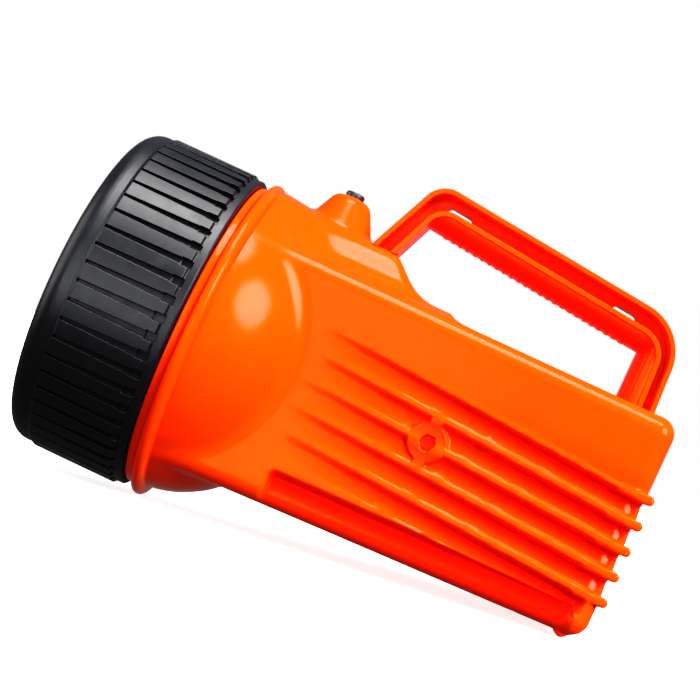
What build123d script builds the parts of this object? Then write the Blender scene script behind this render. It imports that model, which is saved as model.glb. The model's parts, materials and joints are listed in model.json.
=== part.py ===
from build123d import *
import os
os.makedirs("parts", exist_ok=True)
from math import asin, atan2, degrees, sqrt

# Lantern-style hand lamp for a square 6 V battery.  Millimetres.
# Everything is drawn in lamp axes: the beam leaves along -Y, +Y runs to the tail, +Z is up and
# X is across.  The lens axis is the Y axis, and the front of the lens ring lies at y = RING_FRONT.
# At the end the lamp is set down on its rim and its two tail feet.

# ---- lens ring
RING_REAR = 46.5
RING_PAD_R = 60.3
RING_RIM_R = 59.6
RING_LIP_R = 59.3
RING_FLOOR_R = 58.7
RING_OPENING_R = 50.5
RING_SEAT_R = 54.7
RING_BORE_R = 56.3
RING_FRONT = 2.0
RING_ROUND = 6.5
LENS_SEAT_Y = 4.3
RING_PAD_START = 11.8
RING_PAD_END = 43.0
RING_GROOVES = 56
GROOVE_FRONT_W = 1.1
GROOVE_REAR_W = 2.5
NOTCH_W = 3.0
NOTCH_LENGTH = 3.6

# ---- housing shell
NECK_FRONT = 11.6
NECK_R = 54.4
NECK_BORE_R = 51.4
BAND_FRONT = 46.8
BAND_R = 57.6
RIM_FRONT = 49.8
RIM_REAR = 54.6
RIM_R = 60.5
BELL_ROOT_Y = 56.4
BELL_ROOT_R = 56.3
BELL_MID = (72.6, 49.9)
BELL_END = (87.5, 33.0)
BELL_WALL = 2.8
BOX_HALF_WIDTH = 38.5
BOX_TOP = 41.0
BOX_FRONT = 53.0
BOX_REAR = 211.5
BOX_BOTTOM_FRONT = -44.1
BOX_BOTTOM_REAR = -38.4
BOX_EDGE_R = 5.0
BOX_REAR_R = 3.0
HOUSING_CUT_Y = 84.0
CAVITY_HALF_WIDTH = 34.0
CAVITY_TOP = 37.8
CAVITY_REAR = 208.0
CAVITY_BOTTOM_FRONT = -41.0
CAVITY_BOTTOM_REAR = -35.6
HUMP_TOP_HALF = 16.0
HUMP_FOOT_HALF = 23.0

# ---- side ribs and pocket
RIB_COUNT = 5
RIB_START = 88.0
RIB_END = 214.0
RIB_START_Z = 22.3
RIB_START_PITCH = 9.6
RIB_END_Z = 13.2
RIB_END_PITCH = 9.28
RIB_HALF_START = 0.6
RIB_HALF_END = 1.5
RIB_DEPTH = 3.3
NUB_R = 1.8
NUB_Y = 212.0
POCKET_START = 93.0
POCKET_END = 205.5
POCKET_DEPTH = 3.2
SIDE_BOSS_Y = 137.1
SIDE_BOSS_Z = -0.2
SIDE_BOSS_R = 7.0
HEX_FLATS = 4.8
HEX_DEPTH = 3.2

# ---- carry handle
HANDLE_HALF = 13.0
WEB_HALF = 2.5
FLANGE = 1.8
GRIP_SLOPE = -0.1085
GRIP_CROWN = 6.0
GRIP_EDGE_Y = 132.0
GRIP_EDGE_Z = 72.6
RIDGE_COUNT = 25
RIDGE_START = 113.0
RIDGE_PITCH = 3.0
RIDGE_OUT = 0.3
RIDGE_W = 1.3
STRAP_SLOTS = [(114.7, 77.7), (182.0, 70.5)]

# ---- push switch
SWITCH_Y = 77.3
SWITCH_BOSS_FOOT_R = 10.6
SWITCH_BOSS_TOP_R = 5.9
SWITCH_BOSS_TOP = 67.4
BUTTON_R = 3.5
BUTTON_TOP = 69.9
BUTTON_BORE_R = 3.8

CHAMBER_R = 6.0
CHAMBER_TOP = 62.0
COLLAR_LOW = 58.4
CHAMBER_FLOOR = 53.4
BUSHING_R = 4.8
BRIDGE_TOP = 43.8
SWITCH_BODY_LOW = 36.0
SWITCH_BODY_TOP = 51.6
BUSHING_TOP = 56.4
TERMINAL_X = 3.2
TERMINAL_LOW = 31.5
PAD_TOP = 40.9

# ---- lens, reflector and contact plate
LENS_R = 54.2
LENS_CROWN_Y = 2.7
LENS_FACE_R = 700.0
LENS_FACE_ANGLE = 4.09
FILAMENT_Y = 37.6
BULB_R = 5.7
REFLECTOR_VERTEX = 52.0
REFLECTOR_FOCUS = 14.3
PLATE_FRONT = 88.0
PLATE_REAR = 91.2
PLATE_R = 31.0

# ---- battery
BATTERY_HALF = 33.3
BATTERY_FRONT = 103.5
BATTERY_REAR = 204.8

# ---- tail feet
FOOT_Y = 204.0
FOOT_X = 30.0
FOOT_R = 2.4
FOOT_LENGTH = 7.0
FOOT_AXIS_Z = -37.9

# ---- where the row's origin lies, seen from the lamp's own axes once it has been set down
ORIGIN_BACK = -104.813
ORIGIN_UP = 66.843


def across(y):
    """The plane across the lamp at y, with local x along X and local y along Z (normal -Y)."""
    return Plane.XZ.offset(-y)


def turns(count):
    """Evenly spaced rotations about the lens axis."""
    return [Location((0, 0, 0), (0, k * 360 / count, 0)) for k in range(count)]


# ============================================================ housing shell, outside
with BuildPart() as bell:
    with BuildSketch(Plane.YZ):
        with BuildLine():
            Polyline(
                (BELL_END[0], 0), (NECK_FRONT, 0), (NECK_FRONT, NECK_R), (BAND_FRONT, NECK_R),
                (BAND_FRONT, BAND_R), (RIM_FRONT, BAND_R), (RIM_FRONT + 0.7, RIM_R - 0.9),
            )
            ThreePointArc(
                (RIM_FRONT + 0.7, RIM_R - 0.9), (RIM_FRONT + 2.2, RIM_R), (RIM_REAR - 0.9, RIM_R - 1.0)
            )
            Polyline(
                (RIM_REAR - 0.9, RIM_R - 1.0), (RIM_REAR, BELL_ROOT_R + 0.5), (BELL_ROOT_Y, BELL_ROOT_R),
            )
            ThreePointArc((BELL_ROOT_Y, BELL_ROOT_R), BELL_MID, BELL_END)
            Line(BELL_END, (BELL_END[0], 0))
        make_face()
    revolve(axis=Axis.Y)

with BuildPart() as box:
    for y, low in ((BOX_FRONT, BOX_BOTTOM_FRONT), (BOX_REAR, BOX_BOTTOM_REAR)):
        with BuildSketch(across(y)):
            with Locations((0, (BOX_TOP + low) / 2)):
                RectangleRounded(2 * BOX_HALF_WIDTH, BOX_TOP - low, BOX_EDGE_R)
    loft(ruled=True)
    fillet(box.edges().group_by(Axis.Y)[-1], BOX_REAR_R)

shoulder = [
    (98.0, BELL_ROOT_R), (101.2, 55.4), (103.6, 53.6), (107.2, 49.3), (110.8, 45.9), (114.7, 43.4),
    (119.5, 41.6), (124.0, BOX_TOP - 0.4),
]
with BuildPart() as hump:
    with BuildSketch(Plane.YZ):
        with BuildLine():
            Spline(*shoulder, tangents=[(1, 0), (1, -0.05)])
            Polyline(shoulder[-1], (124, 30), (BELL_ROOT_Y, 30), (BELL_ROOT_Y, BELL_ROOT_R), shoulder[0])
        make_face()
    extrude(amount=30, both=True)
    with BuildSketch(across(BELL_ROOT_Y)):
        with BuildLine():
            top_z = sqrt(BELL_ROOT_R**2 - HUMP_TOP_HALF**2)
            ThreePointArc((-HUMP_TOP_HALF, top_z), (0, BELL_ROOT_R), (HUMP_TOP_HALF, top_z))
            Polyline((HUMP_TOP_HALF, top_z), (HUMP_FOOT_HALF, 38), (HUMP_FOOT_HALF, 28))
            Polyline(
                (HUMP_FOOT_HALF, 28), (-HUMP_FOOT_HALF, 28), (-HUMP_FOOT_HALF, 38), (-HUMP_TOP_HALF, top_z),
            )
        make_face()
    extrude(amount=-80, mode=Mode.INTERSECT)


def handle_outline():
    """The handle's side outline, drawn into the open line: outer edge, then inner edge."""
    FilletPolyline(
        (89.0, 51.0), (103.9, 84.7), (203.3, 73.8), (204.9, 38.0),
        (198.3, 38.0), (197.2, 65.5), (108.1, 75.2), (98.0, 51.0),
        radius=(0, 9.5, 18.0, 0, 0, 9.0, 7.0, 0), close=True,
    )


def half_ellipse(a, b, overlap=0.6):
    """The lower half of an ellipse (local +y), with a little overlap into the flange above."""
    Ellipse(a, b)
    with Locations((0, -overlap)):
        Rectangle(3 * a, 2 * b, align=(Align.CENTER, Align.MIN), mode=Mode.INTERSECT)


grip_dir = Vector(0, 1, GRIP_SLOPE).normalized()


def grip_plane(y):
    """A plane across the grip at y, on the lower edge of its flange; local y points down."""
    z = GRIP_EDGE_Z + GRIP_SLOPE * (y - GRIP_EDGE_Y)
    return Plane(origin=(0, y, z), x_dir=(1, 0, 0), z_dir=grip_dir)


# ============================================================ carry handle
with BuildPart() as carry_handle:
    with BuildSketch(Plane.YZ):
        with BuildLine():
            handle_outline()
        make_face()
    extrude(amount=HANDLE_HALF, both=True)
    # crowned underside of the grip, and crowned inner face of the rear strut
    with BuildSketch(grip_plane(103.0)):
        half_ellipse(HANDLE_HALF - 0.4, GRIP_CROWN)
    extrude(amount=94.0)
    with BuildSketch(Plane(origin=(0, 197.7, 65.0), x_dir=(1, 0, 0), z_dir=(0, 0, -1))):
        half_ellipse(HANDLE_HALF - 0.4, GRIP_CROWN)
    extrude(amount=27.0)
    # finger ridges round the underside of the grip
    for k in range(RIDGE_COUNT):
        with BuildSketch(grip_plane(RIDGE_START + k * RIDGE_PITCH)):
            half_ellipse(HANDLE_HALF - 0.8, GRIP_CROWN + RIDGE_OUT, 0.3)
        extrude(amount=RIDGE_W)
    # both sides are hollowed to an I section with a web in the middle
    for side in (1, -1):
        with BuildSketch(Plane.YZ.offset(side * WEB_HALF)):
            with BuildLine():
                handle_outline()
            make_face()
            offset(amount=-FLANGE, kind=Kind.INTERSECTION)
        extrude(amount=side * HANDLE_HALF, mode=Mode.SUBTRACT)
    # strap slots through the web, one at each end of the grip
    for slot_y, slot_z in STRAP_SLOTS:
        with BuildSketch(Plane.YZ):
            with Locations(Location((slot_y, slot_z), degrees(GRIP_SLOPE))):
                SlotOverall(9.0, 2.4)
        extrude(amount=HANDLE_HALF, both=True, mode=Mode.SUBTRACT)
    add(hump.part, mode=Mode.SUBTRACT)
    add(box.part, mode=Mode.SUBTRACT)

# ============================================================ sides of the housing
rib_length = RIB_END - RIB_START


def rib_z(k, y):
    share = (y - RIB_START) / rib_length
    start = RIB_START_Z - k * RIB_START_PITCH
    return start + share * (RIB_END_Z - k * RIB_END_PITCH - start)


def valley(k, y):
    """Cross-section of the sunk band under rib k: deep beside the rib, shallow at the next one."""
    share = (y - RIB_START) / rib_length
    depth = -0.1 + share * (RIB_DEPTH + 0.1)
    half = RIB_HALF_START + share * (RIB_HALF_END - RIB_HALF_START)
    top = rib_z(k, y) - half
    low = rib_z(k + 1, y) + half
    with BuildSketch(across(y)) as section:
        Polygon(
            (BOX_HALF_WIDTH + 2, top), (BOX_HALF_WIDTH - depth, top - 0.15 * depth),
            (BOX_HALF_WIDTH - 0.4 * depth, low + 0.15 * depth), (BOX_HALF_WIDTH + 2, low),
            align=None,
        )
    return section.sketch


with BuildPart() as side_cuts:
    for k in range(RIB_COUNT - 1):
        near = valley(k, RIB_START)
        far = valley(k, RIB_END)
        loft([near.face(), far.face()], ruled=True)
    # under the lowest rib the sunk band is wider and runs into the long pocket
    last = RIB_COUNT - 1
    with BuildSketch(across(RIB_START)) as near_last:
        z = rib_z(last, RIB_START) - RIB_HALF_START
        Polygon((40.5, z), (38.6, z), (38.6, z - 6), (40.5, z - 6), align=None)
    with BuildSketch(across(RIB_END)) as far_last:
        z = rib_z(last, RIB_END) - RIB_HALF_END
        Polygon((40.5, z), (35.2, z - 0.5), (38.6, z - 9.5), (40.5, z - 9.5), align=None)
    loft([near_last.sketch.face(), far_last.sketch.face()], ruled=True)

with BuildPart() as pocket:
    with BuildSketch(Plane.YZ.offset(30.0)):
        with BuildLine():
            FilletPolyline(
                (POCKET_START, -29.3), (POCKET_END, -26.7), (POCKET_END, -46.0), (POCKET_START - 2.0, -46.0),
                radius=(3.0, 2.0, 0.0, 0.0), close=True,
            )
        make_face()
    extrude(amount=12.0)
    with BuildSketch(across(POCKET_START - 5)):
        Polygon(
            (42.0, -24.0), (BOX_HALF_WIDTH - POCKET_DEPTH, -24.0), (BOX_HALF_WIDTH - POCKET_DEPTH, -30.5),
            (BOX_HALF_WIDTH - 0.2, -43.0), (42.0, -43.0), align=None,
        )
    extrude(amount=-(POCKET_END - POCKET_START + 8), mode=Mode.INTERSECT)

with BuildPart() as main_housing:
    add(bell.part)
    add(box.part)
    add(hump.part)
    # conical boss for the push switch
    with BuildSketch(Plane.YZ):
        with BuildLine():
            Polyline(
                (SWITCH_Y, 50.0), (SWITCH_Y + SWITCH_BOSS_FOOT_R + 1.6, 54.0),
                (SWITCH_Y + SWITCH_BOSS_FOOT_R, 57.0), (SWITCH_Y + SWITCH_BOSS_TOP_R + 0.5, 65.6),
            )
            ThreePointArc(
                (SWITCH_Y + SWITCH_BOSS_TOP_R + 0.5, 65.6), (SWITCH_Y + SWITCH_BOSS_TOP_R - 0.3, 66.9),
                (SWITCH_Y + SWITCH_BOSS_TOP_R - 1.6, SWITCH_BOSS_TOP),
            )
            Polyline(
                (SWITCH_Y + SWITCH_BOSS_TOP_R - 1.6, SWITCH_BOSS_TOP), (SWITCH_Y, SWITCH_BOSS_TOP),
                (SWITCH_Y, 50.0),
            )
        make_face()
    revolve(axis=Axis((0, SWITCH_Y, 0), (0, 0, 1)))
    # sunk bands between the side ribs, long pockets, then the bosses on them
    add(side_cuts.part, mode=Mode.SUBTRACT)
    add(mirror(side_cuts.part, about=Plane.YZ, mode=Mode.PRIVATE), mode=Mode.SUBTRACT)
    add(pocket.part, mode=Mode.SUBTRACT)
    add(mirror(pocket.part, about=Plane.YZ, mode=Mode.PRIVATE), mode=Mode.SUBTRACT)
    for side in (1, -1):
        with BuildSketch(Plane.YZ.offset(side * 35.5)):
            with Locations((SIDE_BOSS_Y, SIDE_BOSS_Z)):
                Circle(SIDE_BOSS_R)
        extrude(amount=side * (BOX_HALF_WIDTH - 35.5))
        with BuildSketch(Plane.YZ.offset(side * (BOX_HALF_WIDTH + 1))):
            with Locations((SIDE_BOSS_Y, SIDE_BOSS_Z)):
                RegularPolygon(HEX_FLATS / 2, 6, major_radius=False)
        extrude(amount=-side * (HEX_DEPTH + 1), mode=Mode.SUBTRACT)
        # each rib ends in a rounded nub past the tail face
        for k in range(RIB_COUNT):
            nub_z = rib_z(k, NUB_Y)
            with BuildSketch(Plane.YZ.offset(side * 35.0)):
                with Locations((NUB_Y - 6.0, nub_z)):
                    SlotOverall(12.0 + 2 * NUB_R, 2 * NUB_R)
            extrude(amount=side * 3.0)
        # tail foot
        with BuildSketch(Plane.YZ.offset(side * FOOT_X)):
            with Locations((FOOT_Y, FOOT_AXIS_Z)):
                Circle(FOOT_R)
        extrude(amount=FOOT_LENGTH / 2, both=True)
    # battery space
    with BuildSketch(Plane.YZ):
        Polygon(
            (60.0, CAVITY_TOP), (CAVITY_REAR, CAVITY_TOP), (CAVITY_REAR, CAVITY_BOTTOM_REAR),
            (60.0, CAVITY_BOTTOM_FRONT), align=None,
        )
    extrude(amount=CAVITY_HALF_WIDTH, both=True, mode=Mode.SUBTRACT)
    # inside of the bell and neck
    with BuildSketch(Plane.YZ):
        with BuildLine():
            Polyline(
                (85.0, 0), (NECK_FRONT - 2, 0), (NECK_FRONT - 2, NECK_BORE_R), (48.0, NECK_BORE_R),
                (BELL_ROOT_Y, BELL_ROOT_R - BELL_WALL),
            )
            ThreePointArc((BELL_ROOT_Y, BELL_ROOT_R - BELL_WALL), (71.4, 47.4), (85.0, 31.5))
            Line((85.0, 31.5), (85.0, 0))
        make_face()
    revolve(axis=Axis.Y, mode=Mode.SUBTRACT)
    # inside of the hump, and the switch chamber with the button bore
    with BuildSketch(across(58.0)):
        Polygon((-12.5, 51.6), (12.5, 51.6), (18.0, 37.0), (-18.0, 37.0), align=None)
    extrude(amount=-42.0, mode=Mode.SUBTRACT)
    with BuildSketch(Plane.XY.offset(CHAMBER_FLOOR)):
        with Locations((0, SWITCH_Y)):
            Circle(CHAMBER_R)
    extrude(amount=CHAMBER_TOP - CHAMBER_FLOOR, mode=Mode.SUBTRACT)
    with BuildSketch(Plane.XY.offset(SWITCH_BODY_TOP - 1)):
        with Locations((0, SWITCH_Y)):
            Circle(BUSHING_R + 0.1)
    extrude(amount=4.0, mode=Mode.SUBTRACT)
    with BuildSketch(Plane.XY.offset(CHAMBER_TOP - 1)):
        with Locations((0, SWITCH_Y)):
            Circle(BUTTON_BORE_R)
    extrude(amount=10.0, mode=Mode.SUBTRACT)

# the moulding is written out in two lengths, cut across where the bell dies into the box
with BuildPart() as head_housing:
    add(main_housing.part)
    split(bisect_by=across(HOUSING_CUT_Y), keep=Keep.TOP)

with BuildPart() as battery_housing:
    add(main_housing.part)
    split(bisect_by=across(HOUSING_CUT_Y), keep=Keep.BOTTOM)

# ============================================================ lens ring
with BuildPart() as groove:
    with BuildSketch(across(RING_PAD_START)):
        with Locations((0, RING_FLOOR_R)):
            Rectangle(GROOVE_FRONT_W, 4.0, align=(Align.CENTER, Align.MIN))
    with BuildSketch(across(RING_PAD_END + 0.5)):
        with Locations((0, RING_FLOOR_R)):
            Rectangle(GROOVE_REAR_W, 4.0, align=(Align.CENTER, Align.MIN))
    loft(ruled=True)
    with BuildSketch(across(RING_PAD_END - NOTCH_LENGTH)):
        with Locations((0, RING_FLOOR_R - 0.5)):
            Rectangle(NOTCH_W, 4.5, align=(Align.CENTER, Align.MIN))
    extrude(amount=-(NOTCH_LENGTH + 0.5))

with BuildPart() as lens_ring:
    with BuildSketch(Plane.YZ):
        with BuildLine():
            Polyline(
                (LENS_SEAT_Y, RING_OPENING_R), (RING_FRONT + 1.0, RING_OPENING_R),
                (RING_FRONT, RING_OPENING_R + 1.0), (RING_FRONT, RING_RIM_R - RING_ROUND),
            )
            rounding = CenterArc(
                (RING_FRONT + RING_ROUND, RING_RIM_R - RING_ROUND), RING_ROUND, 180.0, -90.0,
            )
            Polyline(
                rounding @ 1, (RING_PAD_START - 0.8, RING_RIM_R), (RING_PAD_START + 0.4, RING_PAD_R),
                (RING_PAD_END - 0.6, RING_PAD_R), (RING_PAD_END, RING_LIP_R), (RING_REAR - 0.6, RING_LIP_R),
                (RING_REAR, RING_LIP_R - 0.6), (RING_REAR, RING_BORE_R), (NECK_FRONT + 1.4, RING_BORE_R),
                (NECK_FRONT, RING_SEAT_R), (LENS_SEAT_Y, RING_SEAT_R), (LENS_SEAT_Y, RING_OPENING_R),
            )
        make_face()
    revolve(axis=Axis.Y)
    with Locations(*turns(RING_GROOVES)):
        add(groove.part, mode=Mode.SUBTRACT)

with BuildPart() as ring_seal:
    with BuildSketch(Plane.YZ):
        with Locations((45.6, NECK_R + 0.85)):
            Circle(0.8)
    revolve(axis=Axis.Y)

# ============================================================ lens, reflector and bulb
with BuildPart() as lens:
    with BuildSketch(Plane.YZ):
        with BuildLine():
            bulge = CenterArc((LENS_CROWN_Y + LENS_FACE_R, 0), LENS_FACE_R, 180.0, -LENS_FACE_ANGLE)
            Polyline(bulge @ 0, (7.6, 0), (7.6, LENS_R), ((bulge @ 1).X, LENS_R), bulge @ 1)
        make_face()
    revolve(axis=Axis.Y)

with BuildPart() as lens_gasket:
    with BuildSketch(Plane.YZ):
        Polygon((7.6, 51.2), (9.4, 51.2), (9.4, LENS_R), (7.6, LENS_R), align=None)
    revolve(axis=Axis.Y)


def dish(r, shift=0.0):
    """A point of the parabola at radius r."""
    return (REFLECTOR_VERTEX + shift - r**2 / (4 * REFLECTOR_FOCUS), r)


with BuildPart() as reflector:
    with BuildSketch(Plane.YZ):
        with BuildLine():
            inner = Spline(*[dish(r) for r in (7.2, 12, 18, 24, 30, 36, 42, 49)])
            outer = Spline(*[dish(r, 1.8) for r in (50.2, 44, 36, 30, 24, 18, 12.5)])
            Polyline(
                inner @ 1, (9.4, 49.4), (9.4, LENS_R - 0.2), (11.3, LENS_R - 0.2), (11.3, 50.2), outer @ 0,
            )
            Polyline(outer @ 1, (57.0, 12.5), (57.0, 11.2), (53.4, 11.2), (53.4, 7.2), inner @ 0)
        make_face()
    revolve(axis=Axis.Y)

with BuildPart() as bulb_envelope:
    with BuildSketch(Plane.YZ):
        with BuildLine():
            inside = CenterArc((FILAMENT_Y, 0), BULB_R - 0.8, 180.0, -144.0)
            outside = CenterArc((FILAMENT_Y, 0), BULB_R, 180.0, -141.0)
            Line(outside @ 0, inside @ 0)
            Polyline(inside @ 1, (47.6, (inside @ 1).Y), (47.6, (outside @ 1).Y), outside @ 1)
        make_face()
    revolve(axis=Axis.Y)

with BuildPart() as bulb_base:
    with BuildSketch(Plane.YZ):
        Polygon(
            (43.0, 0), (43.0, 1.6), (47.8, 1.6), (47.8, 4.6),
            (53.5, 4.6), (53.5, 6.9), (54.5, 6.9), (54.5, 4.6),
            (60.0, 4.6), (61.5, 2.4), (62.0, 0), align=None,
        )
    revolve(axis=Axis.Y)

with BuildPart() as bulb_filament:
    for x in (-1.0, 1.0):
        with BuildSketch(across(FILAMENT_Y)):
            with Locations((x * 1.2, 0)):
                Circle(0.2)
        extrude(amount=-5.3)
    with BuildSketch(Plane.YZ.offset(-1.4)):
        with Locations((FILAMENT_Y, 0)):
            Circle(0.28)
    extrude(amount=2.8)

with BuildPart() as bulb_holder:
    with BuildSketch(Plane.YZ):
        Polygon(
            (54.5, 5.0), (54.5, 10.9), (82.0, 10.9), (82.0, 15.0), (PLATE_FRONT, 15.0), (PLATE_FRONT, 5.0),
            align=None,
        )
    revolve(axis=Axis.Y)

with BuildPart() as contact_plate:
    with BuildSketch(across(PLATE_FRONT)):
        Circle(PLATE_R)
        Circle(3.0, mode=Mode.SUBTRACT)
    extrude(amount=-(PLATE_REAR - PLATE_FRONT))

with BuildPart() as center_contact:
    with BuildSketch(Plane.YZ):
        Polygon(
            (62.2, 0), (62.2, 2.8), (PLATE_REAR, 2.8), (PLATE_REAR, 8.0), (PLATE_REAR + 0.7, 8.0),
            (PLATE_REAR + 0.7, 0), align=None,
        )
    revolve(axis=Axis.Y)

with BuildPart() as outer_contact:
    with BuildSketch(across(PLATE_REAR)):
        Circle(29.5)
        Circle(19.0, mode=Mode.SUBTRACT)
    extrude(amount=-0.7)

# ============================================================ battery
with BuildPart() as battery_case:
    with BuildSketch(across(BATTERY_FRONT)):
        RectangleRounded(2 * BATTERY_HALF, 2 * BATTERY_HALF, 6.0)
    extrude(amount=-(BATTERY_REAR - BATTERY_FRONT))
    with BuildSketch(across(BATTERY_FRONT)):
        RectangleRounded(2 * BATTERY_HALF - 4, 2 * BATTERY_HALF - 4, 4.5)
    extrude(amount=-2.0, mode=Mode.SUBTRACT)

with BuildPart() as battery_cover:
    with BuildSketch(across(BATTERY_FRONT + 0.4)):
        RectangleRounded(2 * BATTERY_HALF - 4, 2 * BATTERY_HALF - 4, 4.5)
    extrude(amount=-1.6)


def coil(name, axis_x, axis_z, radius, wire, y_tip, y_foot, loops):
    """A closed coil spring along the lens axis, from y_tip to y_foot."""
    height = y_foot - y_tip - 2 * wire
    with BuildPart() as spring:
        with BuildLine():
            path = Helix(
                pitch=height / loops, height=height, radius=radius,
                center=(axis_x, y_tip + wire, axis_z), direction=(0, 1, 0),
            )
        with BuildSketch(Plane(origin=path @ 0, z_dir=path % 0)):
            Circle(wire)
        sweep(path=path, is_frenet=True)
    spring.part.label = name
    return spring


battery_center_spring = coil(
    "battery_center_spring", 0, 0, 6.0, 0.6, PLATE_REAR + 1.0, BATTERY_FRONT + 0.3, 3.5,
)
battery_corner_spring = coil(
    "battery_corner_spring", 17.3, -17.3, 4.5, 0.6, PLATE_REAR + 1.0, BATTERY_FRONT + 0.3, 3.5
)

with BuildPart() as battery_pad:
    with BuildSketch(across(BATTERY_REAR + 0.1)):
        RectangleRounded(56.0, 56.0, 4.0)
    extrude(amount=-(CAVITY_REAR - BATTERY_REAR - 0.1))

# ============================================================ push switch
with BuildPart() as switch_button:
    with BuildSketch(Plane.YZ):
        with BuildLine():
            Polyline(
                (SWITCH_Y, BRIDGE_TOP), (SWITCH_Y + 1.8, BRIDGE_TOP), (SWITCH_Y + 1.8, COLLAR_LOW),
                (SWITCH_Y + 4.6, COLLAR_LOW), (SWITCH_Y + 4.6, COLLAR_LOW + 1.2),
                (SWITCH_Y + BUTTON_R, COLLAR_LOW + 1.2), (SWITCH_Y + BUTTON_R, BUTTON_TOP - 0.8),
            )
            ThreePointArc(
                (SWITCH_Y + BUTTON_R, BUTTON_TOP - 0.8), (SWITCH_Y + BUTTON_R - 0.25, BUTTON_TOP - 0.25),
                (SWITCH_Y + BUTTON_R - 0.8, BUTTON_TOP),
            )
            Polyline((SWITCH_Y + BUTTON_R - 0.8, BUTTON_TOP), (SWITCH_Y, BUTTON_TOP), (SWITCH_Y, BRIDGE_TOP))
        make_face()
    revolve(axis=Axis((0, SWITCH_Y, 0), (0, 0, 1)))


def washer(name, z, height, outer, hole):
    """A flat ring about the switch axis, from z upwards."""
    with BuildPart() as ring:
        with BuildSketch(Plane.XY.offset(z)):
            with Locations((0, SWITCH_Y)):
                Circle(outer)
                if hole:
                    Circle(hole, mode=Mode.SUBTRACT)
        extrude(amount=height)
    ring.part.label = name
    return ring


switch_boot = washer("switch_boot", CHAMBER_TOP - 2.4, 2.3, CHAMBER_R - 0.05, BUTTON_R + 0.2)
contact_bridge = washer("contact_bridge", BRIDGE_TOP - 1.0, 1.0, 4.4, 0)
switch_nut = washer("switch_nut", CHAMBER_FLOOR, 1.6, CHAMBER_R - 0.1, BUSHING_R + 0.05)

with BuildPart() as switch_body:
    with BuildSketch(Plane.XY.offset(SWITCH_BODY_LOW)):
        with Locations((0, SWITCH_Y)):
            RectangleRounded(14.0, 14.0, 1.5)
    extrude(amount=SWITCH_BODY_TOP - SWITCH_BODY_LOW)
    with BuildSketch(Plane.XY.offset(SWITCH_BODY_LOW + 2.0)):
        with Locations((0, SWITCH_Y)):
            Circle(5.4)
    extrude(amount=SWITCH_BODY_TOP - SWITCH_BODY_LOW - 4.5, mode=Mode.SUBTRACT)
    with BuildSketch(Plane.XY.offset(SWITCH_BODY_TOP)):
        with Locations((0, SWITCH_Y)):
            Circle(BUSHING_R)
    extrude(amount=BUSHING_TOP - SWITCH_BODY_TOP)
    with BuildSketch(Plane.XY.offset(SWITCH_BODY_LOW + 3.0)):
        with Locations((0, SWITCH_Y)):
            Circle(2.1)
    extrude(amount=30.0, mode=Mode.SUBTRACT)
    with BuildSketch(Plane.XY.offset(SWITCH_BODY_TOP + 1.0)):
        with Locations((0, SWITCH_Y)):
            Circle(3.6)
    extrude(amount=30.0, mode=Mode.SUBTRACT)
    for x in (-TERMINAL_X, TERMINAL_X):
        with BuildSketch(Plane.XY.offset(SWITCH_BODY_LOW - 1)):
            with Locations((x, SWITCH_Y)):
                Rectangle(1.0, 4.0)
        extrude(amount=4.0, mode=Mode.SUBTRACT)

with BuildPart() as switch_terminals:
    for x in (-TERMINAL_X, TERMINAL_X):
        with BuildSketch(Plane.XY.offset(TERMINAL_LOW)):
            with Locations((x, SWITCH_Y)):
                Rectangle(1.0, 4.0)
        extrude(amount=SWITCH_BODY_LOW + 2.0 - TERMINAL_LOW)
        with BuildSketch(Plane.XY.offset(SWITCH_BODY_LOW + 2.0)):
            with Locations((x, SWITCH_Y)):
                Rectangle(2.0, 4.0)
        extrude(amount=PAD_TOP - SWITCH_BODY_LOW - 2.0)

with BuildPart() as switch_spring:
    with BuildLine():
        spring_low = SWITCH_BODY_TOP + 1.05 + 0.35
        spring_path = Helix(
            pitch=(COLLAR_LOW - 0.4 - spring_low) / 4, height=COLLAR_LOW - 0.4 - spring_low, radius=2.7,
            center=(0, SWITCH_Y, spring_low), direction=(0, 0, 1),
        )
    with BuildSketch(Plane(origin=spring_path @ 0, z_dir=spring_path % 0)):
        Circle(0.35)
    sweep(path=spring_path, is_frenet=True)


def strip(name, x, points, width, thick):
    """A flat brass strip of the given thickness whose side view follows the points."""
    with BuildPart() as lead:
        with BuildSketch(Plane.YZ.offset(x)):
            with BuildLine():
                line = Polyline(*points)
            trace(line, thick)
        extrude(amount=width / 2, both=True)
    lead.part.label = name
    return lead


front_lead = strip(
    "front_lead", -TERMINAL_X,
    [(SWITCH_Y - 2.1, 33.0), (66.0, 33.0), (59.0, 50.3), (15.0, 50.3)], 4.0, 0.5,
)
rear_lead = strip(
    "rear_lead", TERMINAL_X,
    [(SWITCH_Y + 2.1, 33.0), (PLATE_REAR + 1.3, 33.0), (PLATE_REAR + 1.3, 24.0)], 4.0, 0.5,
)

# ============================================================ set down and written out
pieces = {
    "head_housing": head_housing, "battery_housing": battery_housing,
    "carry_handle": carry_handle, "lens_ring": lens_ring,
    "ring_seal": ring_seal, "lens": lens, "lens_gasket": lens_gasket, "reflector": reflector,
    "bulb_envelope": bulb_envelope, "bulb_base": bulb_base, "bulb_filament": bulb_filament,
    "bulb_holder": bulb_holder, "contact_plate": contact_plate, "center_contact": center_contact,
    "outer_contact": outer_contact, "battery_case": battery_case, "battery_cover": battery_cover,
    "battery_center_spring": battery_center_spring, "battery_corner_spring": battery_corner_spring,
    "battery_pad": battery_pad, "switch_button": switch_button, "switch_boot": switch_boot,
    "contact_bridge": contact_bridge, "switch_nut": switch_nut, "switch_body": switch_body,
    "switch_terminals": switch_terminals, "switch_spring": switch_spring,
    "front_lead": front_lead, "rear_lead": rear_lead,
}

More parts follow.
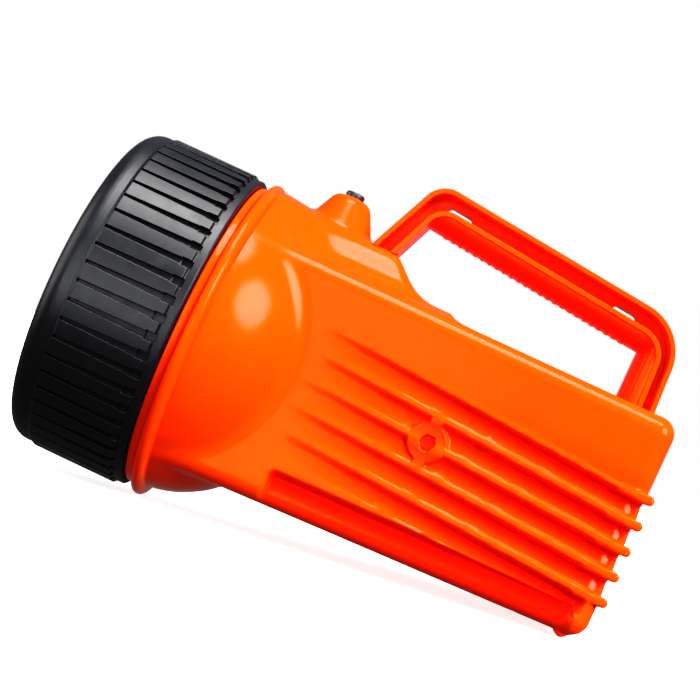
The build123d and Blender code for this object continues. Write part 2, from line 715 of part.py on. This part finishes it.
# the lamp rests on its rim and its tail feet, so its nose points up a little
rim_low = (RIM_FRONT + 2.2, -RIM_R)
to_foot = (FOOT_Y - rim_low[0], FOOT_AXIS_Z - rim_low[1])
rest_tilt = atan2(to_foot[1], to_foot[0]) - asin(FOOT_R / sqrt(to_foot[0] ** 2 + to_foot[1] ** 2))
stand = Location((0, ORIGIN_BACK, ORIGIN_UP)) * Location((0, 0, 0), (-degrees(rest_tilt), 0, 0))

for name, piece in pieces.items():
    placed = piece.part.moved(stand)
    placed.label = name
    export_step(placed, f"parts/{name}.step")
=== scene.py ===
import json
import math

import bmesh
import bpy
import numpy as np
import openvdb as vdb
from mathutils import Matrix, Vector


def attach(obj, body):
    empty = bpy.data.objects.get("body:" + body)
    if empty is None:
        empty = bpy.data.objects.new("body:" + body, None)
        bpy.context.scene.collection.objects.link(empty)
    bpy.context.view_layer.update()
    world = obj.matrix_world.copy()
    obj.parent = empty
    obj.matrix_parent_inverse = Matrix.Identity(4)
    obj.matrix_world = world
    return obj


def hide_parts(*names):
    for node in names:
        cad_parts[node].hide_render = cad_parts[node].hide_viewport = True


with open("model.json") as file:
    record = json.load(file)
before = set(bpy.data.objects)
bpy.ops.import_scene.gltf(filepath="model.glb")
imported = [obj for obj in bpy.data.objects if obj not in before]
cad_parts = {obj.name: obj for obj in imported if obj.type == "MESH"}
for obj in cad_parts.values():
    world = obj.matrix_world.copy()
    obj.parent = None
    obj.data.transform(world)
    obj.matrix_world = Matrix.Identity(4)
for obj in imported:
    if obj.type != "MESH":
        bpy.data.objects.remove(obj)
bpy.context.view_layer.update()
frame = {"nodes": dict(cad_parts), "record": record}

# ------------------------------------------------------------------ the lamp's own axes
# Sizes below are in mm on the lamp's axes: y along the lens axis toward the tail, z up, x to the side.
MM = 0.001
REST_TILT = math.radians(7.56215)
ORIGIN_BACK = -104.813
ORIGIN_UP = 66.843
stand = Matrix.Translation((0, ORIGIN_BACK * MM, ORIGIN_UP * MM)) @ Matrix.Rotation(-REST_TILT, 4, "X")
lamp_to_row = stand @ Matrix.Scale(MM, 4)


def turned(v):
    """A direction given on the lamp's axes, in the row frame."""
    return (stand.to_3x3() @ Vector(v)).normalized()


# ------------------------------------------------------------------ camera
CAM_AT = (583.80, 127.08, 3.99)
CAM_YAW, CAM_PITCH, CAM_ROLL = -0.0483, -0.0239, -0.4359
CAM_LENS = 84.0

spin = (
    Matrix.Rotation(CAM_ROLL, 3, "Z") @ Matrix.Rotation(CAM_PITCH, 3, "X") @ Matrix.Rotation(CAM_YAW, 3, "Y")
)
right, up, back = [turned((row[2], row[0], row[1])) for row in spin]
camera = bpy.data.objects.new("camera", bpy.data.cameras.new("camera"))
bpy.context.scene.collection.objects.link(camera)
cam_axes = Matrix((right, up, back)).transposed().to_4x4()
camera.matrix_world = Matrix.Translation(lamp_to_row @ Vector(CAM_AT)) @ cam_axes
camera.data.lens = CAM_LENS
camera.data.clip_start = 0.01
bpy.context.scene.camera = camera


# ------------------------------------------------------------------ materials
class Nodes:
    """A small helper that adds shader nodes to one material."""

    def __init__(self, name):
        self.material = bpy.data.materials.new(name)
        self.material.use_nodes = True
        self.tree = self.material.node_tree
        self.shader = self.tree.nodes["Principled BSDF"]
        self.place = self.tree.nodes.new("ShaderNodeTexCoord").outputs["Object"]

    def add(self, kind, **values):
        node = self.tree.nodes.new("ShaderNode" + kind)
        for key, value in values.items():
            setattr(node, key, value)
        return node

    def link(self, a, b):
        self.tree.links.new(a, b)

    def noise(self, scale, detail=3.0, rough=0.5):
        node = self.add("TexNoise")
        self.link(self.place, node.inputs["Vector"])
        node.inputs["Scale"].default_value = scale
        node.inputs["Detail"].default_value = detail
        node.inputs["Roughness"].default_value = rough
        return node.outputs["Fac"]

    def ramp(self, source, low, high, start=0.3, end=0.7):
        """source remapped: low at start, high at end."""
        node = self.add("MapRange")
        self.link(source, node.inputs["Value"])
        node.inputs["From Min"].default_value = start
        node.inputs["From Max"].default_value = end
        node.inputs["To Min"].default_value = low
        node.inputs["To Max"].default_value = high
        return node.outputs["Result"]

    def blend(self, factor, first, second):
        """Mixes two colours; each is a socket or three numbers."""
        node = self.add("Mix", data_type="RGBA")
        self.link(factor, node.inputs[0])
        for socket, value in ((node.inputs[6], first), (node.inputs[7], second)):
            if isinstance(value, tuple):
                socket.default_value = (*value, 1.0)
            else:
                self.link(value, socket)
        return node.outputs[2]

    def bump(self, height, strength, distance, normal=None):
        node = self.add("Bump")
        node.inputs["Strength"].default_value = strength
        node.inputs["Distance"].default_value = distance
        self.link(height, node.inputs["Height"])
        if normal:
            self.link(normal, node.inputs["Normal"])
        return node.outputs["Normal"]

    def soft_edges(self, radius):
        node = self.add("Bevel", samples=6)
        node.inputs["Radius"].default_value = radius
        return node.outputs["Normal"]


PATCH_SCALE, GLOSS_SCALE, GRAIN_SCALE = 38.0, 150.0, 1500.0
GLOSS_SPREAD = 0.05
GRAIN_HEIGHT = 0.00006


def moulded(name, colour, second, rough, grain=0.12, edge=0.0, metallic=0.0, painted_shade=None, **extra):
    """A moulded or pressed surface: patchy colour, uneven gloss and a fine skin, with optional painted shade
    in the hollows.
    """
    m = Nodes(name)
    patches = m.ramp(m.noise(PATCH_SCALE, 4.0, 0.6), 0.0, 1.0)
    base = m.blend(patches, colour, second)
    # painted shade: a deeper colour blended in through a mesh attribute, standing in for the shade in the
    # hollows
    if painted_shade:
        node = m.add("Attribute", attribute_name="painted_shade")
        base = m.blend(node.outputs["Fac"], base, painted_shade)
    m.link(base, m.shader.inputs["Base Color"])
    gloss = m.ramp(m.noise(GLOSS_SCALE, 5.0, 0.65), rough - GLOSS_SPREAD, rough + GLOSS_SPREAD)
    m.link(gloss, m.shader.inputs["Roughness"])
    normal = m.soft_edges(edge) if edge else None
    skin = m.bump(m.noise(GRAIN_SCALE, 2.0), grain, GRAIN_HEIGHT, normal)
    m.link(skin, m.shader.inputs["Normal"])
    m.shader.inputs["Metallic"].default_value = metallic
    for key, value in extra.items():
        m.shader.inputs[key.replace("_", " ")].default_value = value
    return m.material


ORANGE = (1.0, 0.050, 0.0)
ORANGE_DEEP = (0.98, 0.046, 0.0)
# painted shade colour for the sunk side: nearly pure red, where the hollows should fall into shade
ORANGE_PAINTED_SHADE = (0.85, 0.002, 0.0)

finish = {
    "orange_plastic": moulded(
        "orange_plastic", ORANGE, ORANGE_DEEP, 0.17, 0.10, 0.0005, painted_shade=ORANGE_PAINTED_SHADE,
        Specular_IOR_Level=0.2, Specular_Tint=(1.0, 0.55, 0.30, 1.0),
    ),
    "black_plastic": moulded(
        "black_plastic", (0.0075, 0.0080, 0.0098), (0.0100, 0.0104, 0.0122), 0.40, 0.3, 0.0004,
        Specular_IOR_Level=0.35,
    ),
    "seal_rubber": moulded("seal_rubber", (0.012, 0.012, 0.012), (0.02, 0.02, 0.02), 0.65, 0.4),
    "clear_plastic": moulded(
        "clear_plastic", (0.97, 0.98, 0.985), (0.95, 0.97, 0.98), 0.07, 0.02,
        Transmission_Weight=1.0, IOR=1.49,
    ),
    "mirror_coating": moulded(
        "mirror_coating", (0.92, 0.92, 0.93), (0.86, 0.87, 0.88), 0.09, 0.05, metallic=1.0,
    ),
    "bulb_glass": moulded(
        "bulb_glass", (0.98, 0.98, 0.98), (0.95, 0.95, 0.95), 0.06, 0.02,
        Transmission_Weight=1.0, IOR=1.47,
    ),
    "nickel_brass": moulded("nickel_brass", (0.72, 0.55, 0.28), (0.62, 0.47, 0.24), 0.3, 0.2, metallic=1.0),
    "filament_wire": moulded("filament_wire", (0.3, 0.3, 0.31), (0.22, 0.22, 0.23), 0.45, 0.2, metallic=1.0),
    "white_plastic": moulded("white_plastic", (0.75, 0.75, 0.71), (0.68, 0.67, 0.63), 0.45, 0.2),
    "plate_fibre": moulded("plate_fibre", (0.22, 0.11, 0.05), (0.15, 0.075, 0.035), 0.6, 0.5),
    "battery_wrap": moulded("battery_wrap", (0.04, 0.09, 0.22), (0.03, 0.07, 0.18), 0.35, 0.15),
    "battery_lid": moulded("battery_lid", (0.02, 0.02, 0.02), (0.03, 0.03, 0.03), 0.5, 0.3),
    "spring_steel": moulded("spring_steel", (0.6, 0.6, 0.62), (0.5, 0.5, 0.52), 0.28, 0.2, metallic=1.0),
    "foam": moulded("foam", (0.07, 0.07, 0.075), (0.12, 0.12, 0.125), 0.85, 1.0),
    "button_plastic": moulded(
        "button_plastic", (0.008, 0.008, 0.009), (0.013, 0.013, 0.014), 0.38, 0.3, 0.0004,
    ),
    "switch_plastic": moulded("switch_plastic", (0.012, 0.012, 0.012), (0.02, 0.02, 0.02), 0.5, 0.3),
}
slot_of = {part["node"]: part["material_slot"] for part in frame["record"]["subparts"]}
for node_name, node in frame["nodes"].items():
    for material_slot in node.material_slots:
        material_slot.material = finish[slot_of[node_name]]


# ------------------------------------------------------------------ housing, as one smooth moulding
BOX_HALF, BOX_TOP, BOX_FRONT, BOX_REAR = 38.5, 41.0, 53.0, 211.5
BOTTOM_FRONT, BOTTOM_SLOPE = -44.1, 5.7 / 158.5
BOX_ROUND = 6.2
BELL_Y, BELL_RING, BELL_ROUND = 49.13, 14.19, 42.74
BELL_WALL = 2.8
HUMP_R, SHOULDER_START, SHOULDER_LENGTH = 56.3, 96.0, 24.5
HUMP_FLANK_R, HUMP_END, SHOULDER_LOW = 17.46, 123.0, 39.5
RIB_START, RIB_END, RIB_DEPTH = 88.0, 212.0, 3.1
RIB_COUNT, LAST_RIB_FADE = 5, (204.5, 207.5)
RIB_TOP_Z, RIB_FALL, RIB_PITCH, RIB_PITCH_FALL = 22.3, 9.1, 9.6, 0.32
LIP_HEIGHT = 0.5
POCKET_FRONT, POCKET_REAR, POCKET_DEPTH, POCKET_SHALLOW = 92.5, 206.0, 3.2, 0.2
POCKET_EDGE_Z, POCKET_EDGE_RISE, POCKET_FOOT_Z, POCKET_CORNER = -29.3, 0.023, -43.0, 3.2
BOSS_Y, BOSS_Z, BOSS_R, HEX_HALF, HEX_DEPTH = 137.1, -0.2, 7.0, 2.4, 3.2
BOSS_ROOT, WEB_REACH, WEB_HALF = 30.0, 9.4, 2.2
SWITCH_Y, CONE_FOOT_R, CONE_TOP_R, CONE_FOOT, CONE_TOP = 77.3, 11.6, 6.4, 57.0, 67.9
NUB_FRONT, NUB_REAR, NUB_R, NUB_X, NUB_HALF = 202.0, 212.0, 1.75, 36.2, 2.2
FOOT_Y, FOOT_Z, FOOT_R, FOOT_X, FOOT_HALF = 204.0, -37.9, 2.4, 30.0, 3.5
MOULDING_FRONT = 52.0
BELL_SPACE_END = 85.0
BATTERY_FRONT, BATTERY_REAR, BATTERY_HALF, BATTERY_TOP = 60.0, 208.0, 34.0, 37.8
BATTERY_LOW, BATTERY_LOW_SLOPE = -41.0, 5.4 / 148.0
UNDER_HUMP_TOP, UNDER_HUMP_FOOT, UNDER_HUMP_END = 51.6, 30.0, 100.0
CHAMBER_R, CHAMBER_LOW, CHAMBER_TOP = 6.1, 53.4, 62.0
BORE_R, BORE_LOW = 3.85, 60.0
BUSHING_R, BUSHING_LOW, BUSHING_TOP = 5.0, 50.0, 55.0
HEAD_BORE_R, HEAD_BORE_END = 52.5, 56.0
VOXEL = 0.65
SKIN_LOW, SKIN_HIGH = (-60.0, 50.0, -60.0), (60.0, 216.0, 70.5)
SETTLE_ROUNDS, SETTLE_LIMIT = 3, 0.4
PAINTED_SHADE_SIDE, PAINTED_SHADE_TAIL = (30.0, 33.0), (207.5, 210.5)


def smooth_min(a, b, k):
    h = np.maximum(k - np.abs(a - b), 0.0) / k
    return np.minimum(a, b) - h * h * k * 0.25


def smooth_max(a, b, k):
    return -smooth_min(-a, -b, k)


def step(value, start, end):
    """0 at start, 1 at end, with soft ends."""
    t = np.clip((value - start) / (end - start), 0.0, 1.0)
    return t * t * (3.0 - 2.0 * t)


def rib_line(y):
    """Height of the top rib's line, and the pitch of the five ribs, at y."""
    share = np.clip((y - RIB_START) / (RIB_END + 2.0 - RIB_START), 0.0, 1.1)
    return RIB_TOP_Z - RIB_FALL * share, RIB_PITCH - RIB_PITCH_FALL * share, share


def side_depth(y, z):
    """How far the side is sunk: a scoop under each rib, a faint one above the first, and the pocket."""
    top, pitch, share = rib_line(y)
    under = (top - z) / pitch
    number = np.clip(np.floor(under), 0, RIB_COUNT - 1)
    below = (under - number) * pitch
    crest = 0.3 + 0.5 * share
    along = np.clip((below - crest) / (pitch - 2.0 * crest), 0.0, 1.0)
    scoop = step(along, 0.0, 0.32) * np.minimum(1.3 - 1.12 * along, 1.0) * (1.0 - step(along, 0.88, 1.0))
    sunk = RIB_DEPTH * (1.0 - (1.0 - np.minimum(share, 1.0)) ** 2.0) * scoop
    above = -below
    lip = LIP_HEIGHT * share * step(above, -0.2, 1.0) * (1.0 - step(above, 1.0, 8.0))
    sunk = np.where(under < 0, lip, np.where(under > RIB_COUNT, 0.0, sunk))
    sunk = np.where(number == RIB_COUNT - 1, sunk * (1.0 - step(y, *LAST_RIB_FADE)), sunk)
    edge = POCKET_EDGE_Z + POCKET_EDGE_RISE * (y - POCKET_FRONT)
    in_y = np.minimum(y - POCKET_FRONT, POCKET_REAR - y)
    in_z = edge - z
    past_y = np.maximum(POCKET_CORNER - in_y, 0)
    past_z = np.maximum(POCKET_CORNER - in_z, 0)
    inside = POCKET_CORNER - np.hypot(past_y, past_z)
    fall = np.clip((z - POCKET_FOOT_Z) / (edge - POCKET_FOOT_Z), 0.0, 1.0)
    pocket = (POCKET_SHALLOW + (POCKET_DEPTH - POCKET_SHALLOW) * fall) * step(inside, 0.0, 3.0)
    return np.maximum(sunk, pocket)


def body(x, y, z):
    """Signed distance to the moulding's outside, without its cavities."""
    across = np.abs(x)
    radius = np.hypot(x, z)
    bell = np.hypot(y - BELL_Y, radius - BELL_RING) - BELL_ROUND
    depth = side_depth(y, z)
    floor = BOTTOM_FRONT + BOTTOM_SLOPE * (y - BOX_FRONT)
    middle, half = (BOX_TOP + floor) / 2, (BOX_TOP - floor) / 2
    qx = across + depth - (BOX_HALF - BOX_ROUND)
    qz = np.abs(z - middle) - (half - BOX_ROUND)
    qy = np.maximum(y - (BOX_REAR - BOX_ROUND), BOX_FRONT - y)
    box = np.sqrt(np.maximum(qx, 0) ** 2 + np.maximum(qy, 0) ** 2 + np.maximum(qz, 0) ** 2)
    box += np.minimum(np.maximum(np.maximum(qx, qy), qz), 0) - BOX_ROUND
    fillet = 2.5 + 1.5 * step(z, -40.0, 10.0)
    shape = smooth_min(bell, box, fillet)
    turn = np.clip((y - SHOULDER_START) / SHOULDER_LENGTH, 0.0, 1.0)
    rise = (HUMP_R - SHOULDER_LOW) * 0.5 * (1.0 + np.cos(np.pi * turn))
    shoulder = (z - SHOULDER_LOW - rise) * 0.75
    flank = ((across - 16.0) * 16.0 + (z - 54.0) * 7.0) / HUMP_FLANK_R
    hump = smooth_max(smooth_max(radius - HUMP_R, shoulder, 1.5), flank, 4.0)
    hump = np.maximum(hump, np.maximum(38.0 - z, y - HUMP_END))
    shape = smooth_min(shape, hump, 11.0)
    # switch cone
    out = np.hypot(x, y - SWITCH_Y)
    slope = (CONE_FOOT_R - CONE_TOP_R) / (CONE_TOP - CONE_FOOT)
    cone = (out - (CONE_FOOT_R - (z - CONE_FOOT) * slope)) / math.hypot(1.0, slope)
    cone = smooth_max(np.maximum(cone, 45.0 - z), z - CONE_TOP, 3.0)
    shape = smooth_min(shape, cone, 2.0)
    # flush round boss on each side, held by two short webs to the ribs beside it
    off = np.hypot(y - BOSS_Y, z - BOSS_Z)
    boss = smooth_max(np.maximum(off - BOSS_R, BOSS_ROOT - across), across - BOX_HALF, 0.6)
    web = np.maximum(np.abs(z - BOSS_Z) - WEB_REACH, np.abs(y - BOSS_Y) - WEB_HALF)
    web = smooth_max(np.maximum(web, BOSS_ROOT - across), across - BOX_HALF, 0.6)
    boss = np.minimum(boss, web)
    shape = smooth_min(shape, boss, 0.5)
    # rib ends past the tail
    top, pitch, _ = rib_line(np.full_like(y, NUB_REAR))
    nearest = np.clip(np.round((top - z) / pitch), 0, RIB_COUNT - 1)
    past_end = np.maximum(NUB_FRONT - y, y - NUB_REAR).clip(0)
    nub = np.hypot(past_end, z - (top - nearest * pitch)) - NUB_R
    nub = smooth_max(nub, np.abs(across - NUB_X) - NUB_HALF, 1.2)
    shape = smooth_min(shape, nub, 0.8)
    # tail feet
    foot = np.maximum(np.hypot(y - FOOT_Y, z - FOOT_Z) - FOOT_R, np.abs(across - FOOT_X) - FOOT_HALF)
    return smooth_min(shape, foot, 1.0)


def hollow(x, y, z):
    """Signed distance to the space inside."""
    across = np.abs(x)
    radius = np.hypot(x, z)
    bell = np.hypot(y - BELL_Y, radius - BELL_RING) - (BELL_ROUND - BELL_WALL)
    bell = np.maximum(bell, y - BELL_SPACE_END)
    low = BATTERY_LOW + BATTERY_LOW_SLOPE * (y - BATTERY_FRONT)
    battery = np.maximum(across - BATTERY_HALF, y - BATTERY_REAR)
    battery = np.maximum(battery, np.maximum(z - BATTERY_TOP, low - z))
    battery = np.maximum(battery, BATTERY_FRONT - y)
    flank = ((across - 12.5) * 14.6 + (z - UNDER_HUMP_TOP) * 5.5) / 15.6
    under_hump = np.maximum(flank, z - UNDER_HUMP_TOP)
    under_hump = np.maximum(under_hump, np.maximum(y - UNDER_HUMP_END, UNDER_HUMP_FOOT - z))
    out = np.hypot(x, y - SWITCH_Y)
    chamber = np.maximum(out - CHAMBER_R, np.maximum(CHAMBER_LOW - z, z - CHAMBER_TOP))
    bore = np.maximum(out - BORE_R, BORE_LOW - z)
    bushing = np.maximum(out - BUSHING_R, np.maximum(BUSHING_LOW - z, z - BUSHING_TOP))
    front = np.maximum(radius - HEAD_BORE_R, y - HEAD_BORE_END)
    space = np.minimum(np.minimum(bell, battery), np.minimum(under_hump, chamber))
    space = np.minimum(np.minimum(space, bore), np.minimum(bushing, front))
    beside, above = np.abs(y - BOSS_Y), np.abs(z - BOSS_Z)
    hexagon = np.maximum(above, beside * 0.866 + above * 0.5) - HEX_HALF
    return np.minimum(space, np.maximum(hexagon, BOX_HALF - HEX_DEPTH - across))


def housing_distance(x, y, z):
    shape = np.maximum(body(x, y, z), -hollow(x, y, z))
    return np.maximum(shape, MOULDING_FRONT - y)


def grid_mesh(distance, low, high):
    """Vertices (n x 3) and faces of the zero surface inside the box."""
    axes = [np.arange(a, b, VOXEL, dtype=np.float32) for a, b in zip(low, high)]
    x, y, z = np.meshgrid(*axes, indexing="ij")
    values = np.clip(distance(x, y, z), -3 * VOXEL, 3 * VOXEL).astype(np.float32)
    grid = vdb.FloatGrid(3 * VOXEL)
    grid.copyFromArray(values)
    points, triangles, quads = grid.convertToPolygons(0.0, 0.01)
    return points * VOXEL + np.array(low), triangles, quads


def gradient(distance, points, gap=0.12):
    x, y, z = points.T
    slopes = [
        distance(x + gap * a, y + gap * b, z + gap * c) - distance(x - gap * a, y - gap * b, z - gap * c)
        for a, b, c in ((1, 0, 0), (0, 1, 0), (0, 0, 1))
    ]
    slopes = np.stack(slopes, axis=1)
    size = np.linalg.norm(slopes, axis=1, keepdims=True)
    return slopes / np.maximum(size, 1e-9), size[:, 0] / (2 * gap)


points, triangles, quads = grid_mesh(housing_distance, SKIN_LOW, SKIN_HIGH)
for _ in range(SETTLE_ROUNDS):
    normals, steepness = gradient(housing_distance, points)
    move = housing_distance(*points.T) / np.maximum(steepness, 0.5)
    points = points - normals * np.clip(move, -SETTLE_LIMIT, SETTLE_LIMIT)[:, None]
normals, steepness = gradient(housing_distance, points)

faces = [tuple(int(i) for i in face) for shapes in (triangles, quads) for face in shapes]
skin_mesh = bpy.data.meshes.new("housing_moulding")
skin_mesh.from_pydata([lamp_to_row @ Vector(p) for p in points], [], faces)
skin_mesh.validate()
row_turn = np.array(stand.to_3x3())
row_normals = normals @ row_turn.T
face_way = skin_mesh.polygons[0].normal
vertex_way = Vector(row_normals[skin_mesh.polygons[0].vertices[0]])
if face_way.dot(vertex_way) < 0:
    skin_mesh.flip_normals()
skin_mesh.polygons.foreach_set("use_smooth", [True] * len(skin_mesh.polygons))
skin_mesh.normals_split_custom_set_from_vertices([Vector(n) for n in row_normals])
# painted shade: the sunk depth of the rib scoops and the pocket, as a 0 to 1 weight that turns the orange
# deep red there
painted_shade = skin_mesh.attributes.new("painted_shade", "FLOAT", "POINT")
side, along, height = np.abs(points[:, 0]), points[:, 1], points[:, 2]
sunk = side_depth(along, height) * step(side, *PAINTED_SHADE_SIDE)
sunk = sunk * (along > RIB_START) * (1.0 - step(along, *PAINTED_SHADE_TAIL))
painted_shade.data.foreach_set("value", np.clip((sunk - 0.2) / 2.6, 0, 1).astype(np.float32) ** 0.75)
skin_mesh.materials.append(finish["orange_plastic"])
skin = bpy.data.objects.new("housing_moulding", skin_mesh)
bpy.context.scene.collection.objects.link(skin)
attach(skin, "housing")


def lathe(name, profile, steps, slot):
    """A closed (y, r) profile turned about the lens axis."""
    mesh = bpy.data.meshes.new(name)
    vertices, rings = [], len(profile)
    for k in range(steps):
        a = 2 * math.pi * k / steps
        vertices += [lamp_to_row @ Vector((r * math.sin(a), y, r * math.cos(a))) for y, r in profile]
    around = []
    for k in range(steps):
        for i in range(rings):
            a, b = k * rings + i, k * rings + (i + 1) % rings
            c, d = ((k + 1) % steps) * rings + (i + 1) % rings, ((k + 1) % steps) * rings + i
            around.append((a, b, c, d))
    mesh.from_pydata(vertices, [], around)
    work = bmesh.new()
    work.from_mesh(mesh)
    bmesh.ops.recalc_face_normals(work, faces=work.faces)
    work.to_mesh(mesh)
    work.free()
    mesh.materials.append(finish[slot])
    piece = bpy.data.objects.new(name, mesh)
    bpy.context.scene.collection.objects.link(piece)
    mesh.polygons.foreach_set("use_smooth", [True] * len(mesh.polygons))
    mesh.set_sharp_from_angle(angle=math.radians(40))
    return piece


collar_profile = [
    (9.6, 51.5), (9.6, 54.0), (10.0, 54.4), (46.7, 54.4), (46.8, 57.0), (47.1, 57.35), (47.5, 57.4),
    (49.2, 57.4), (49.5, 57.3), (49.6, 56.9), (49.95, 56.9), (50.05, 58.6), (50.4, 59.6), (51.0, 60.25),
    (51.9, 60.5), (52.8, 60.35), (53.6, 59.8), (54.1, 59.0), (54.4, 58.0), (54.6, 57.0), (54.7, 56.2),
    (54.7, 54.6), (50.0, 54.0), (48.0, 51.5),
]
collar = lathe("head_collar", collar_profile, 192, "orange_plastic")
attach(collar, "housing")
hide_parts("head_housing", "battery_housing")

# ------------------------------------------------------------------ studio
FLOOR_HALF = 9
FLOOR_LEVEL = -0.0005
floor_mesh = bpy.data.meshes.new("floor")
floor_corners = [
    (a * FLOOR_HALF, b * FLOOR_HALF, FLOOR_LEVEL) for a, b in ((-1, -1), (1, -1), (1, 1), (-1, 1))
]
floor_mesh.from_pydata(floor_corners, [], [(0, 1, 2, 3)])
paper = Nodes("studio_paper")
paper.link(
    paper.blend(paper.ramp(paper.noise(3.0), 0.0, 1.0), (0.78, 0.78, 0.78), (0.82, 0.82, 0.82)),
    paper.shader.inputs["Base Color"],
)
paper.shader.inputs["Roughness"].default_value = 0.9
paper.shader.inputs["Emission Color"].default_value = (1.0, 1.0, 1.0, 1.0)
paper.shader.inputs["Emission Strength"].default_value = 0.8
floor_mesh.materials.append(paper.material)
floor = bpy.data.objects.new("floor", floor_mesh)
bpy.context.scene.collection.objects.link(floor)
floor.visible_diffuse = False
floor.visible_glossy = False

world = bpy.data.worlds.new("studio")
world.use_nodes = True
bpy.context.scene.world = world
tree = world.node_tree
soft = tree.nodes["Background"]
soft.inputs["Color"].default_value = (1.0, 1.0, 1.0, 1.0)
soft.inputs["Strength"].default_value = 0.20
backdrop = tree.nodes.new("ShaderNodeBackground")
backdrop.inputs["Color"].default_value = (1.0, 1.0, 1.0, 1.0)
seen = tree.nodes.new("ShaderNodeLightPath")
either = tree.nodes.new("ShaderNodeMixShader")
tree.links.new(seen.outputs["Is Camera Ray"], either.inputs[0])
tree.links.new(soft.outputs[0], either.inputs[1])
tree.links.new(backdrop.outputs[0], either.inputs[2])
tree.links.new(either.outputs[0], tree.nodes["World Output"].inputs["Surface"])


def softlight(name, direction, width, power):
    """A distant round softbox: the direction it shines from, and how wide it looks in degrees."""
    data = bpy.data.lights.new(name, "SUN")
    data.angle = math.radians(width)
    data.energy = power
    light = bpy.data.objects.new(name, data)
    bpy.context.scene.collection.objects.link(light)
    light.rotation_euler = Vector(direction).to_track_quat("Z", "Y").to_euler()
    return light


softlight("key", (0.58, 0.66, 0.47), 32, 6.8)
softlight("top", (0.30, 0.06, 0.93), 32, 5.5)
softlight("side", (0.93, -0.30, 0.02), 40, 1.4)
softlight("front", (0.10, -0.96, 0.25), 50, 1.5)
softlight("left", (-0.88, 0.20, 0.42), 50, 2.4).visible_glossy = False

# the darkest tones are deepened, the rest stays straight
TONE_TOE = ((0.03, 0.007), (0.06, 0.028), (0.10, 0.085), (0.15, 0.15))
scene = bpy.context.scene
scene.view_settings.view_transform = "Standard"
scene.view_settings.look = "None"
scene.view_settings.use_curve_mapping = True
tone = scene.view_settings.curve_mapping.curves[3]
for place, value in TONE_TOE:
    tone.points.new(place, value)
for point in tone.points:
    point.handle_type = "VECTOR"
scene.view_settings.curve_mapping.update()
